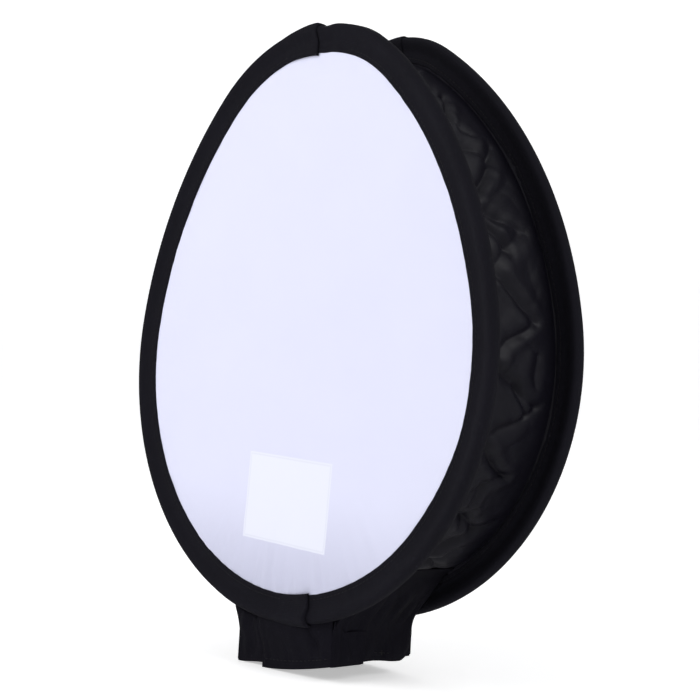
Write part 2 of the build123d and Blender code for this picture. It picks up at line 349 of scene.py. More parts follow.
def tape_points(egg, s, y_mid, facing, seed, grow=0.0, puckers=1.0, wide=0.0):
    """The folded tape's outside over stations s, as a grid of points and its map across."""
    inset, sign = tape_section()
    lie, swell = tape_lie(egg, s[:, None], inset[None, :], seed, puckers)
    if egg is FRONT:
        from_foot = (s + egg.girth / 2) % egg.girth - egg.girth / 2
        plump = smooth(from_foot, -62 * MM, -38 * MM) * (1 - smooth(from_foot, 26 * MM, 28 * MM))
        pocket = np.exp(-(((inset - 4.5 * MM) / (4 * MM)) ** 2))
        swell = swell + 1.5 * MM * plump[:, None] * pocket[None, :]
    dent = 0.16 * MM * np.exp(-(((inset - STITCH_INSET) / (0.55 * MM)) ** 2))
    half = section_half(inset)[None, :] + swell + grow - dent[None, :]
    across = sign[None, :] * half + lie
    rim = tape_rim(egg, s)[:, None] * (1 - 0.7 * smooth(inset, 0, BAND_WIDTH))[None, :]
    flat_inset = inset[None, :] - grow * np.where(inset < NOSE, 1 - inset / NOSE, 0)[None, :] - rim
    flat_inset = flat_inset + wide * smooth(inset, 9 * MM, BAND_WIDTH)[None, :]
    x, z, nx, nz = (a[:, None] for a in egg.at(s))
    points = np.stack(
        [x - nx * flat_inset, y_mid + facing * across + 0 * x, z - nz * flat_inset], -1
    )
    step = np.hypot(np.diff(inset), np.diff(sign * section_half(inset)))
    return points, np.concatenate([[0], np.cumsum(step)])


def stitch_row(name, centres, directions, sides, length, width, rise):
    """A row of sewn stitches, each a short rounded thread that dips at both ends."""
    ring = np.linspace(0, 2 * math.pi, 7)[:-1]
    along = np.array([-0.5, -0.36, 0, 0.36, 0.5])
    lift = np.array([-0.6, 0.25, 0.6, 0.25, -0.6])
    size = np.array([0.45, 0.9, 1, 0.9, 0.45])
    vertices, faces = [], []
    for centre, direction, side in zip(centres, directions, sides):
        up = np.cross(direction, side)
        base = len(vertices)
        for a, l, k in zip(along, lift, size):
            middle = centre + direction * a * length + up * l * rise
            for t in ring:
                offset = side * math.cos(t) * width / 2 + up * math.sin(t) * rise
                vertices.append(middle + offset * k)
        for j in range(len(along) - 1):
            for k in range(6):
                a, b = base + 6 * j + k, base + 6 * j + (k + 1) % 6
                faces.append((a, b, b + 6, a + 6))
        faces.append(tuple(base + k for k in range(5, -1, -1)))
        faces.append(tuple(base + 6 * (len(along) - 1) + k for k in range(6)))
    return smooth_object(name, [tuple(v) for v in vertices], faces)


def line_stitches(name, path, up, pitch, length, width, rise):
    """Stitches along a polyline of points, laid on a surface whose outward direction is up."""
    path = np.asarray(path, float)
    step = np.linalg.norm(np.diff(path, axis=0), axis=1)
    run = np.concatenate([[0], np.cumsum(step)])
    count = max(int(run[-1] / pitch), 1)
    at = (np.arange(count) + 0.5) * run[-1] / count
    centres = np.stack([np.interp(at, run, path[:, k]) for k in range(3)], -1)
    ahead = np.stack([np.interp(at + length / 2, run, path[:, k]) for k in range(3)], -1)
    behind = np.stack([np.interp(at - length / 2, run, path[:, k]) for k in range(3)], -1)
    directions = ahead - behind
    directions /= np.linalg.norm(directions, axis=1)[:, None]
    up = np.broadcast_to(np.asarray(up, float), directions.shape)
    sides = np.cross(up, directions)
    sides /= np.linalg.norm(sides, axis=1)[:, None]
    return stitch_row(name, centres, directions, sides, length, width, rise)


# ------------------------------------------------------------------ materials


def feed(tree, socket, value):
    """Links another node's output to a socket, or sets the socket's own value."""
    if isinstance(value, bpy.types.NodeSocket):
        tree.links.new(value, socket)
    else:
        socket.default_value = value


def node(tree, kind, **values):
    """A shader node with its attributes set and its inputs fed, each by its name."""
    made = tree.nodes.new(kind)
    for key, value in values.items():
        if hasattr(made, key):
            setattr(made, key, value)
        else:
            feed(tree, made.inputs[key.replace("_", " ")], value)
    return made


def maths(tree, operation, *values):
    """A Math node fed with sockets or numbers, as its output."""
    made = node(tree, "ShaderNodeMath", operation=operation)
    for socket, value in zip(made.inputs, values):
        feed(tree, socket, value)
    return made.outputs[0]


def mix(tree, factor, a, b, blend="MIX"):
    """Two colours mixed by a factor, each a socket or a value, as the mix's output."""
    made = node(tree, "ShaderNodeMix", data_type="RGBA", blend_type=blend)
    for index, value in ((0, factor), (6, a), (7, b)):
        feed(tree, made.inputs[index], value)
    return made.outputs[2]


def object_place(tree):
    """Places on the object, for textures."""
    return node(tree, "ShaderNodeTexCoord").outputs["Object"]


def share_between(tree, value, low, high, **values):
    """0 where a value is at low, 1 where it is at high."""
    made = node(tree, "ShaderNodeMapRange", Value=value, From_Min=low, From_Max=high, **values)
    return made.outputs[0]


def emboss(tree, shader, height, strength, distance, **values):
    """Raises the surface by a height, through the shader's normal."""
    bump = node(tree, "ShaderNodeBump", Strength=strength, Distance=distance, Height=height, **values)
    feed(tree, shader.inputs["Normal"], bump.outputs[0])


def new_group(name, inputs, outputs):
    """A node group, with its own inputs and outputs; inputs are name, kind and default."""
    group = bpy.data.node_groups.new(name, "ShaderNodeTree")
    for label, kind, default in inputs:
        socket = group.interface.new_socket(label, in_out="INPUT", socket_type=f"NodeSocket{kind}")
        if default is not None:
            socket.default_value = default
    for label, kind in outputs:
        group.interface.new_socket(label, in_out="OUTPUT", socket_type=f"NodeSocket{kind}")
    given = group.nodes.new("NodeGroupInput")
    result = group.nodes.new("NodeGroupOutput")
    return group, given.outputs, result.inputs


def weave_group():
    """Plain weave: threads that pass over and under each other at a given pitch."""
    group, given, result = new_group(
        "Plain weave",
        [("Map", "Vector", None), ("Pitch along", "Float", 0.4), ("Pitch across", "Float", 0.4)],
        [("Height", "Float"), ("Gap", "Float")],
    )
    split = node(group, "ShaderNodeSeparateXYZ", Vector=given["Map"])
    threads, counts = [], []
    for axis, pitch in enumerate(("Pitch along", "Pitch across")):
        millimetres = maths(group, "MULTIPLY", split.outputs[axis], 1000.0)
        place = maths(group, "DIVIDE", millimetres, given[pitch])
        wave = maths(group, "SINE", maths(group, "MULTIPLY", place, math.pi))
        threads.append(maths(group, "ABSOLUTE", wave))
        counts.append(maths(group, "FLOOR", place))
    over = maths(group, "FLOORED_MODULO", maths(group, "ADD", *counts), 2.0)
    under = maths(group, "SUBTRACT", 1.0, over)
    raised = [
        maths(group, "MULTIPLY", thread, maths(group, "MULTIPLY_ADD", on_top, 0.6, 0.2))
        for thread, on_top in zip(threads, (over, under))
    ]
    feed(group, result["Height"], maths(group, "ADD", *raised))
    feed(group, result["Gap"], maths(group, "SUBTRACT", 1.0, maths(group, "MAXIMUM", *threads)))
    return group


def wear_group():
    """Uneven dye, and specks of lint."""
    group, given, result = new_group(
        "Cloth wear",
        [
            ("Colour", "Color", (0.5, 0.5, 0.5, 1)),
            ("Lint colour", "Color", (0.5, 0.5, 0.5, 1)),
            ("Unevenness", "Float", 0.2),
            ("Lint", "Float", 0.1),
        ],
        [("Colour", "Color"), ("Patches", "Float")],
    )
    place = object_place(group)
    broad = node(group, "ShaderNodeTexNoise", Vector=place, Scale=22.0, Detail=3.0, Roughness=0.55)
    fine = node(group, "ShaderNodeTexNoise", Vector=place, Scale=900.0, Detail=2.0, Roughness=0.6)
    swing = maths(group, "MULTIPLY", maths(group, "SUBTRACT", broad.outputs[0], 0.5), 2.0)
    strength = maths(group, "MULTIPLY_ADD", swing, given["Unevenness"], 1.0)
    dyed = mix(group, 1.0, given["Colour"], strength, "MULTIPLY")
    specks = share_between(group, fine.outputs[0], 0.66, 0.8)
    linted = mix(group, maths(group, "MULTIPLY", specks, given["Lint"]), dyed, given["Lint colour"])
    feed(group, result["Colour"], linted)
    feed(group, result["Patches"], broad.outputs[0])
    return group


def rolled_group():
    """Fine rolling lines along a metal strip."""
    group, given, result = new_group("Rolled metal", [("Scale", "Float", 400.0)], [("Lines", "Float")])
    stretch = node(group, "ShaderNodeMapping", Vector=object_place(group), Scale=(0.05, 1.0, 0.05))
    lines = node(
        group, "ShaderNodeTexNoise", Vector=stretch.outputs[0], Scale=given["Scale"], Detail=2.0
    )
    feed(group, result["Lines"], lines.outputs[0])
    return group


GROUPS = {"Plain weave": weave_group, "Cloth wear": wear_group, "Rolled metal": rolled_group}


def place_group(tree, name, **values):
    """A shared node group with its inputs fed, built the first time it is asked for."""
    shared = bpy.data.node_groups.get(name) or GROUPS[name]()
    return node(tree, "ShaderNodeGroup", node_tree=shared, **values)


def new_material(name, **values):
    """An empty material, with its Principled shader's inputs fed and wired to the output."""
    material = bpy.data.materials.new(name)
    material.use_nodes = True
    tree = material.node_tree
    tree.nodes.clear()
    shader = node(tree, "ShaderNodeBsdfPrincipled", **values)
    node(tree, "ShaderNodeOutputMaterial", Surface=shader.outputs[0])
    return material, tree, shader


def cloth_material(
    name, colour, pitch, depth, roughness, gloss, unevenness, lint, sheen=0.0, metallic=0.0
):
    """Woven cloth or tape; pitch is in millimetres along and across, depth in metres."""
    material, tree, shader = new_material(
        name, Specular_IOR_Level=gloss, Sheen_Weight=sheen, Sheen_Roughness=0.4, Metallic=metallic
    )
    wear = place_group(
        tree, "Cloth wear", Colour=(*colour, 1), Lint_colour=LINT_COLOUR, Unevenness=unevenness,
        Lint=lint,
    )
    cloth = node(tree, "ShaderNodeUVMap", uv_map="cloth")
    weave = place_group(
        tree, "Plain weave", Map=cloth.outputs[0], Pitch_along=pitch[0], Pitch_across=pitch[1]
    )
    # Painted shade: the colour is darkened in the gaps between threads.
    gap = maths(tree, "MULTIPLY", weave.outputs["Gap"], 0.7)
    shaded = mix(tree, gap, wear.outputs["Colour"], PAINTED_GAP_SHADE, "MULTIPLY")
    feed(tree, shader.inputs["Base Color"], shaded)
    rough = maths(tree, "MULTIPLY_ADD", wear.outputs["Patches"], 0.16, roughness - 0.08)
    feed(tree, shader.inputs["Roughness"], rough)
    emboss(tree, shader, weave.outputs["Height"], 0.7, depth)
    return material


def follow_pattern(tree, shader, pattern, colour, shades, rough, strength, distance, **values):
    """Colour, roughness and relief led by one pattern; shades and rough are its low and span."""
    low, high = ((*(shade * c for c in colour), 1) for shade in shades)
    feed(tree, shader.inputs["Base Color"], mix(tree, pattern, low, high))
    start, span = rough
    feed(tree, shader.inputs["Roughness"], maths(tree, "MULTIPLY_ADD", pattern, span, start))
    emboss(tree, shader, pattern, strength, distance, **values)


def thread_material(name, colour):
    """Sewing thread, with its twist as fine bands."""
    material, tree, shader = new_material(name, Specular_IOR_Level=0.2)
    twist = node(
        tree, "ShaderNodeTexWave", Vector=object_place(tree), Scale=900.0, Distortion=1.5,
        bands_direction="DIAGONAL",
    )
    follow_pattern(tree, shader, twist.outputs[1], colour, (0.7, 1.0), (0.6, 0.2), 0.5, 0.05 * MM)
    return material


def steel_material(name, colour, roughness):
    """Rolled spring steel with fine lines along the strip."""
    material, tree, shader = new_material(name, Metallic=1.0)
    lines = place_group(tree, "Rolled metal").outputs[0]
    rough = (roughness - 0.1, 0.2)
    follow_pattern(tree, shader, lines, colour, (0.75, 1.0), rough, 0.2, 0.02 * MM)
    return material


def grip_material(name, colour, pitch):
    """Hook or loop tape: a field of tiny hooks or curled loops, pitch in millimetres."""
    material, tree, shader = new_material(name, Specular_IOR_Level=0.25)
    cells = node(tree, "ShaderNodeTexVoronoi", Vector=object_place(tree), Scale=1000.0 / pitch)
    follow_pattern(
        tree, shader, cells.outputs["Distance"], colour, (1.6, 0.4), (0.55, 0.3), 0.9, 0.3 * MM,
        invert=True,
    )
    return material


def diffuser_material(name, colour, patch_colour):
    """White nylon, brighter where the patch backs it, with painted shade that greys it low down over the
    neck.
    """
    material = cloth_material(name, colour, **WHITE_NYLON)
    tree = material.node_tree
    shader = tree.nodes["Principled BSDF"]
    x, _, z = node(tree, "ShaderNodeSeparateXYZ", Vector=object_place(tree)).outputs
    right = maths(tree, "SUBTRACT", x, PATCH_CENTRE.x)
    up = maths(tree, "SUBTRACT", z, PATCH_CENTRE.z)
    turn, lean = math.cos(PATCH_TILT), math.sin(PATCH_TILT)
    past = []
    for main, other, share, half in (
        (right, up, -lean, PATCH_HALF[0]),
        (up, right, lean, PATCH_HALF[1]),
    ):
        off = maths(tree, "MULTIPLY_ADD", main, turn, maths(tree, "MULTIPLY", other, share))
        past.append(maths(tree, "SUBTRACT", maths(tree, "ABSOLUTE", off), half))
    outside = maths(tree, "MAXIMUM", *past)
    inside = share_between(tree, outside, 0.3 * MM, -0.4 * MM)
    from_seam = maths(tree, "ABSOLUTE", maths(tree, "ADD", outside, 1.2 * MM))
    seam = maths(tree, "MULTIPLY", share_between(tree, from_seam, 0.7 * MM, 0.2 * MM), 0.12)
    # Painted shade: the diffuser's colour greys towards the bottom, over the neck, outside the patch.
    low = share_between(
        tree, z, CENTRE_Z - 70 * MM, RIM_LOW.z + 8 * MM, interpolation_type="SMOOTHSTEP"
    )
    painted_shade_low = maths(tree, "MULTIPLY", low, maths(tree, "SUBTRACT", 1.0, inside))
    white = shader.inputs["Base Color"].links[0].from_socket
    white = mix(tree, inside, white, (*patch_colour, 1))
    white = mix(tree, seam, white, SEAM_SHADE, "MULTIPLY")
    white = mix(tree, painted_shade_low, white, PAINTED_NECK_SHADE, "MULTIPLY")
    feed(tree, shader.inputs["Base Color"], white)
    return material


def material_of(name, build, *values, **named):
    """The named material, built the first time it is asked for."""
    return bpy.data.materials.get(name) or build(name, *values, **named)


def cloth_of(kind):
    """The material of one kind of cloth, in its colour from the panel."""
    name, look = CLOTHS[kind]
    return material_of(name, cloth_material, tuple(getattr(colours(), kind)), **look)


def sewing_thread():
    return material_of("Sewing thread", thread_material, tuple(colours().thread))


# ------------------------------------------------------------------ settings


class SoftboxSizes(bpy.types.PropertyGroup):
    """Sizes of the cloth and its sewing that can be changed without a new frame."""

    wall_crease: FloatProperty(
        name="Wall creases",
        description="Depth of the creases in the slack side wall",
        default=2.6 * MM,
        min=0,
        max=6 * MM,
        unit="LENGTH",
    )
    tape_pucker: FloatProperty(
        name="Tape puckers",
        description="Strength of the small puckers along the tape's inner edge",
        default=1.0,
        min=0,
        max=2,
        subtype="FACTOR",
    )
    gather_depth: FloatProperty(
        name="Neck gathers",
        description="Depth of the gathers in the neck",
        default=1.5 * MM,
        min=0,
        max=3 * MM,
        unit="LENGTH",
    )
    hem_rise: FloatProperty(
        name="Hem rise",
        description="How far the neck's hem is drawn up on its right side",
        default=9.2 * MM,
        min=0,
        max=12 * MM,
        unit="LENGTH",
    )
    stitch_pitch: FloatProperty(
        name="Stitch pitch",
        description="Distance from one stitch to the next",
        default=3.2 * MM,
        min=1.5 * MM,
        max=6 * MM,
        unit="LENGTH",
    )


def cloth_colour(name, description, default):
    """The colour setting of one cloth or thread."""
    return FloatVectorProperty(
        name=name, description=description, subtype="COLOR", default=default, min=0, max=1
    )


class SoftboxColours(bpy.types.PropertyGroup):
    """Colours of the softbox's cloths, tape and thread."""

    tape: cloth_colour("Tape", "Binding tape round both hoops", (0.0082, 0.0077, 0.0118))
    wall: cloth_colour("Wall and back", "Side wall and back panel", (0.0058, 0.0051, 0.0102))
    neck: cloth_colour("Neck", "Neck and its flap", (0.0064, 0.0058, 0.0096))
    diffuser: cloth_colour("Diffuser", "White front cloth", (0.775, 0.785, 0.96))
    patch: cloth_colour("Hot-spot patch", "Second layer behind the diffuser", (0.78, 0.795, 0.89))
    lining: cloth_colour("Lining", "Silver cloth inside", (0.72, 0.73, 0.75))
    thread: cloth_colour("Thread", "Sewing thread", (0.012, 0.011, 0.014))


class SoftboxStage(bpy.types.PropertyGroup):
    """Lights and floor."""

    key_power: FloatProperty(
        name="Key light",
        description="Power of the large soft light at the front",
        default=17.0,
        min=0,
        unit="POWER",
    )
    fill_power: FloatProperty(
        name="Fill light",
        description="Power of the light on the wall's side",
        default=9.0,
        min=0,
        unit="POWER",
    )
    surround: FloatProperty(
        name="Surround",
        description="Brightness of the white surround",
        default=0.38,
        min=0,
        max=3,
    )
    floor_glow: FloatProperty(
        name="Floor glow",
        description="Light given off by the floor and backdrop",
        default=0.45,
        min=0,
        max=2,
    )


def sizes():
    return bpy.context.scene.softbox_sizes


def colours():
    return bpy.context.scene.softbox_colours


# ------------------------------------------------------------------ pieces


class SOFTBOX_OT_hoops(bpy.types.Operator):
    """Finish the two spring-steel hoops and their sleeves"""

    bl_idname = "softbox.hoops"
    bl_label = "Steel hoops"

    def execute(self, context):
        hoop = material_of("Spring steel", steel_material, (0.30, 0.31, 0.33), 0.35)
        sleeve = material_of("Zinc sleeve", steel_material, (0.62, 0.62, 0.63), 0.45)
        for side in ("front", "rear"):
            for name, material in ((f"{side}_hoop", hoop), (f"{side}_hoop_ferrule", sleeve)):
                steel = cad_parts[name]
                steel.data.materials.clear()
                steel.data.materials.append(material)
        return {"FINISHED"}


class SOFTBOX_OT_bindings(bpy.types.Operator):
    """Make the folded tape round each hoop, its overlaps and its stitching"""

    bl_idname = "softbox.bindings"
    bl_label = "Tape bindings"

    rows = 720

    def binding(self, side, egg, y_mid, facing, seed, body):
        """One hoop's folded tape, closed on itself."""
        s = np.arange(self.rows) * egg.girth / self.rows
        points, across = tape_points(egg, s, y_mid, facing, seed, puckers=sizes().tape_pucker)
        along = np.arange(self.rows + 1) * egg.girth / self.rows
        tape = grid_object(
            f"{side}_binding_tape", points, np.append(across, across[-1] + 2 * BAND_HALF), along,
            wrap_along=True, wrap_across=True,
        )
        dress(tape, cloth_of("tape"), body, [f"{side}_binding"])
        self.stitches(side, egg, y_mid, facing, seed, body)

    def stitches(self, side, egg, y_mid, facing, seed, body):
        """The seam round the tape's band, as it shows on each of its two faces."""
        count = int(egg.girth / sizes().stitch_pitch)
        s = np.arange(count) * egg.girth / count
        inset = np.full(count, STITCH_INSET)
        lie, swell = tape_lie(egg, s, inset, seed, sizes().tape_pucker)
        x, z, nx, nz = egg.at(s)
        directions = np.stack([-nz, 0 * s, nx], -1)
        for face, sign in (("outer", -1), ("inner", 1)):
            half = BAND_HALF + swell - 0.1 * MM
            y = y_mid + facing * (sign * half + lie)
            centres = np.stack([x - nx * inset, y, z - nz * inset], -1)
            sides = np.stack([nx, 0 * s, nz], -1) * sign * facing
            row = stitch_row(
                f"{side}_binding_{face}_stitches", centres, directions, sides,
                length=2.3 * MM, width=0.5 * MM, rise=0.16 * MM,
            )
            dress(row, sewing_thread(), body)

    def overlap(self, name, stands_for, arc, angles, rises, wides, egg, y_mid, facing, seed, body):
        """One tape end laid over the other, with its height and extra width at its two ends."""
        low, high = (egg.station(arc, a) for a in angles)
        roll = np.array([0, 0.2, 0.6, 1.2]) * MM
        middle = np.linspace(low + 2 * MM, high - 2 * MM, 40)
        s = np.concatenate([low + roll, middle, (high - roll)[::-1]])
        rise = np.interp(s, [low, high], rises)
        wide = np.interp(s, [low, high], wides)
        end = np.concatenate([[0.35, 0.75, 0.94, 1], np.ones(40), [1, 0.94, 0.75, 0.35]])
        under = np.minimum(0.06 * MM, 0.3 * rise)
        outer, inner = [], []
        for station, lift, gap, more in zip(s, rise * end, under, wide):
            at = np.array([station])
            for layer, grow in ((outer, max(lift, gap + 0.02 * MM)), (inner, gap)):
                points, across = tape_points(
                    egg, at, y_mid, facing, seed, grow=grow, puckers=sizes().tape_pucker, wide=more
                )
                layer.append(points[0])
        loop = np.concatenate([np.array(outer), np.array(inner)[:, ::-1]], 1)
        width = np.concatenate([across, across[-1] + across, [2 * across[-1]]])
        thing = grid_object(name, loop, width, s, wrap_across=True)
        dress(thing, cloth_of("tape"), body, stands_for)

    def execute(self, context):
        front = {"egg": FRONT, "y_mid": FRONT_Y, "facing": 1, "seed": 11, "body": "front_frame"}
        rear = {"egg": REAR, "y_mid": REAR_Y, "facing": -1, "seed": 23, "body": "rear_frame"}
        self.binding("front", **front)
        self.binding("rear", **rear)
        crown, foot = 2, 0
        for name, stands_for, place, arc, angles, rises, wides in (
            ("front_crown_overlap", ["front_binding_crown_join"], front, crown, (60, 86),
             (0.08, 0.5), (0, 0)),
            ("front_crown_tape_end", [], front, crown, (86, 103), (1.7, 0.08), (1.7, 0)),
            ("front_foot_overlap", ["front_binding_foot_join"], front, foot, (-90, -79.5),
             (0.1, 1.9), (0, 0.9)),
            ("rear_crown_overlap", ["rear_binding_crown_join"], rear, crown, (84, 98),
             (0.8, 0.1), (0, 0)),
        ):
            heights, widths = (np.array(pair) * MM for pair in (rises, wides))
            self.overlap(name, stands_for, arc, angles, heights, widths, **place)
        return {"FINISHED"}


def egg_cloth(name, egg, inset, y_of, rows=150, columns=120):
    """A sheet with the egg's outline; y_of gives its place in depth at each x and z."""
    low, high = RIM_LOW.z + inset, egg.top - inset
    share = 0.5 - 0.5 * np.cos(np.linspace(0, math.pi, rows))
    z = low + (high - low) * share
    z[0], z[-1] = low + 1e-6, high - 1e-6
    half = egg.half_width(z, inset)
    side = np.sin(np.linspace(-math.pi / 2, math.pi / 2, columns))
    x = half[:, None] * side[None, :]
    z = z[:, None] + 0 * x
    points = np.stack([x, y_of(x, z), z], -1)
    thing = grid_object(name, points, side * BOTTOM_RADIUS, z[:, 0])
    flat_map = np.stack([x.ravel(), z.ravel()], -1)
    layer = thing.data.uv_layers["cloth"]
    index = np.empty(len(thing.data.loops), int)
    thing.data.loops.foreach_get("vertex_index", index)
    layer.data.foreach_set("uv", flat_map[index].astype(np.float32).ravel())
    return thing


def panel_lie(egg, x, z, seed, pull):
    """Slack and edge puckers of a sewn-in panel, out of its plane."""
    inside = egg.depth_inside(x, z)
    free = smooth(inside, 14 * MM, 60 * MM)
    slack = ripple(x / (95 * MM), z / (120 * MM), seed)
    angle = np.arctan2(z - CENTRE_Z, x)
    near = 1 - smooth(inside, 14 * MM, 46 * MM)
    cells = ripple(angle * 17, inside / (60 * MM), seed + 1)
    foot = smooth(-np.sin(angle), 0.62, 0.98) * (1 - smooth(inside, 20 * MM, 75 * MM))
    rays = ripple(angle * 24, inside / (90 * MM), seed + 2)
    held = smooth(inside, 13 * MM, 19 * MM)
    return free * 1.3 * MM * slack + held * (near * 0.35 * MM * cells + foot * pull * rays)


class SOFTBOX_OT_diffuser(bpy.types.Operator):
    """Make the white diffuser and the patch sewn behind it"""

    bl_idname = "softbox.diffuser"
    bl_label = "Diffuser"

    def execute(self, context):
        face = FRONT_Y - 0.2 * MM

        def lie(x, z):
            return face + panel_lie(FRONT, x, z, 41, 0.9 * MM)

        diffuser = egg_cloth("diffuser_cloth", FRONT, PANEL_INSET, lie)
        thicken(diffuser, DIFFUSER_THICKNESS)
        white = material_of(
            "Diffuser nylon", diffuser_material, tuple(colours().diffuser), tuple(colours().patch)
        )
        dress(diffuser, white, "front_frame", ["diffuser"])

        across = np.linspace(-PATCH_HALF[0], PATCH_HALF[0], 48)
        along = np.linspace(-PATCH_HALF[1], PATCH_HALF[1], 36)
        up, right = np.meshgrid(along, across, indexing="ij")
        x = PATCH_CENTRE.x + right * math.cos(PATCH_TILT) + up * math.sin(PATCH_TILT)
        z = PATCH_CENTRE.z + up * math.cos(PATCH_TILT) - right * math.sin(PATCH_TILT)
        points = np.stack([x, lie(x, z) + 0.4 * MM, z], -1)
        patch = thicken(grid_object("hot_spot_patch_cloth", points, across, along), DIFFUSER_THICKNESS)
        dress(patch, cloth_of("patch"), "front_frame", ["hot_spot_patch"])
        return {"FINISHED"}


class SOFTBOX_OT_back(bpy.types.Operator):
    """Make the black back panel and its silver lining"""

    bl_idname = "softbox.back"
    bl_label = "Back panel"

    def execute(self, context):
        def lie(x, z):
            return REAR_Y + 0.2 * MM + panel_lie(REAR, x, z, 77, 1.2 * MM)

        back = thicken(egg_cloth("rear_panel_cloth", REAR, PANEL_INSET, lie), WALL_THICKNESS)
        dress(back, cloth_of("wall"), "rear_frame", ["rear_panel"])
        lining = egg_cloth(
            "rear_lining_cloth", REAR, LINING_INSET, lambda x, z: lie(x, z) - 0.55 * MM,
            rows=110, columns=90,
        )
        thicken(lining, LINING_THICKNESS)
        dress(lining, cloth_of("lining"), "rear_frame", ["rear_lining"])
        return {"FINISHED"}


def wall_start():
    """The station, on the right, at which the wall meets the neck's flare."""
    reach = math.asin(FLARE_REACH / (BOTTOM_RADIUS - WALL_INSET))
    return FRONT.station(0, math.degrees(reach) - 90)


def wall_folds(seed):
    """Crossing folds of the slack wall: their ends, depth and width, in millimetres."""
    dice = np.random.default_rng(seed)
    depth = DEPTH / MM
    folds, at, side = [], 8.0, 1
    while at < FRONT.girth / MM:
        step = dice.uniform(19, 31)
        ends = [dice.uniform(0.1, 0.3), dice.uniform(0.7, 0.92)][::side]
        folds.append((at, ends[0] * depth, at + step, ends[1] * depth, dice.uniform(1.8, 3.4), 3.0))
        if dice.random() < 0.6:
            shift = dice.uniform(8, 16)
            middle = at + 0.5 * step + shift
            heights = [dice.uniform(0.2, 0.8) * depth for _ in range(2)]
            folds.append(
                (middle - 8, heights[0], middle + 8, heights[1], dice.uniform(1.0, 2.2), 2.1)
            )
        at, side = at + step * dice.uniform(0.75, 1.05), -side
    return folds


def wall_bulge(s, v):
    """How far the slack wall stands out from its seams' surface at station s and depth v."""
    start = wall_start()
    u, w = s / MM + 0 * v, v * DEPTH / MM + 0 * s
    warp_u = u + 4 * ripple(u / 29, w / 29, 5)
    warp_w = w + 4 * ripple(u / 29 + 40, w / 29, 6)
    relief = 0.0
    for u0, w0, u1, w1, depth, width in wall_folds(19):
        near = (u[:, 0] > min(u0, u1) - 30) & (u[:, 0] < max(u0, u1) + 30)
        a, b = warp_u[near] - u0, warp_w[near] - w0
        run_u, run_w = u1 - u0, w1 - w0
        t = (a * run_u + b * run_w) / (run_u**2 + run_w**2)
        off = np.hypot(a - np.clip(t, 0, 1) * run_u, b - np.clip(t, 0, 1) * run_w)
        valley = np.exp(-off / width)
        ridge = np.exp(-(((off - 2.4 * width) / (1.6 * width)) ** 2))
        fold = np.zeros_like(u)
        fold[near] = depth * (0.45 * ridge - valley) * smooth(-np.abs(t - 0.5), -0.75, -0.4)
        relief = relief + fold
    rising = crease(warp_u, warp_w, turn=0.95, long=26, short=12, seed=7)
    falling = crease(warp_u, warp_w, turn=-0.85, long=28, short=13, seed=8)
    small = 0.35 * rising + 0.35 * falling
    window = np.power(np.clip(np.sin(math.pi * np.clip(v, 0, 1)), 0, 1), 0.7)
    near = np.minimum(s - start, FRONT.girth - start - s)
    edge = smooth(near, 6 * MM, 22 * MM)
    sag = -1.2 * MM
    neck_pull = 5.5 * MM * (1 - smooth(near, 14 * MM, 62 * MM)) * smooth(near, 6 * MM, 22 * MM)
    return window * (edge * (sizes().wall_crease * (relief / 2.6 + 0.5 * small) + sag) + neck_pull)


def wall_grid(name, offset, inner, rows=900, columns=72):
    """The wall as a strip of cloth from flare to flare; offset draws it inwards."""
    start = wall_start()
    s = np.linspace(start, FRONT.girth - start, rows)
    hem = np.array([0.0, 0.5, 1.2]) * MM / DEPTH
    middle = np.linspace(2 * MM / DEPTH, 1 - 2 * MM / DEPTH, columns - 2 * len(hem))
    v = np.concatenate([hem, middle, 1 - hem[::-1]])
    tuck = np.ones(columns)
    if not inner:
        tuck[[0, -1]] = 0
    inset = WALL_INSET + offset - 3.2 * MM * (1 - tuck)[None, :]
    out = wall_bulge(s[:, None], v[None, :]) * tuck[None, :]
    front = np.stack(FRONT.at(s), -1)[:, None, :]
    rear = np.stack(REAR.at(np.interp(s, FRONT.ends, REAR.ends)), -1)[:, None, :]
    x, z, nx, nz = np.moveaxis(front + (rear - front) * v[None, :, None], -1, 0)
    length = np.hypot(nx, nz)
    nx, nz = nx / length, nz / length
    margin = 1.5 * MM if inner else 0.2 * MM
    y = FRONT_Y + margin + (DEPTH - 2 * margin) * v
    points = np.stack([x - nx * (inset - out), 0 * x + y[None, :], z - nz * (inset - out)], -1)
    return grid_object(name, points, v * DEPTH, s)


class SOFTBOX_OT_wall(bpy.types.Operator):
    """Make the slack side wall and its silver lining"""

    bl_idname = "softbox.wall"
    bl_label = "Side wall"

    def execute(self, context):
        wall = thicken(wall_grid("side_wall_cloth", 0, inner=False), WALL_THICKNESS)
        dress(wall, cloth_of("wall"), None, ["side_wall"])
        follow_wall(wall)
        lining = thicken(wall_grid("side_lining_cloth", 1.1 * MM, inner=True), LINING_THICKNESS)
        dress(lining, cloth_of("lining"), None, ["side_lining"])
        follow_wall(lining)
        return {"FINISHED"}


def hem_height(x, y):
    """How far the hem is drawn up at a place round the neck; it rises towards the right."""
    across = np.clip((x + 16 * MM) / (57 * MM), 0, 1)
    back = 1 + 0.04 * smooth(y, -10 * MM, -5 * MM) - 0.2 * smooth(y, 0, 22 * MM)
    corner = 0.35 * smooth(y, 24 * MM, 31 * MM)
    return sizes().hem_rise * across**1.5 * (back + corner)


def gathers(along, height, seed):
    """Upright folds drawn in by the elastic, about -1 to 1."""
    u = along / MM + 2.5 * ripple(along / MM / 14, height / MM / 16, seed)
    folds = ripple(u / GATHER_SPACING, height / MM / 44, seed + 1)
    sharp = 1.2 * np.abs(ripple(u / (1.7 * GATHER_SPACING), height / MM / 30 + 9, seed + 2)) - 0.4
    return folds * 0.8 + sharp


def rim_foot(x):
    """Height of the hoops' outline over the neck."""
    return CENTRE_Z - np.sqrt(BOTTOM_RADIUS**2 - x**2)


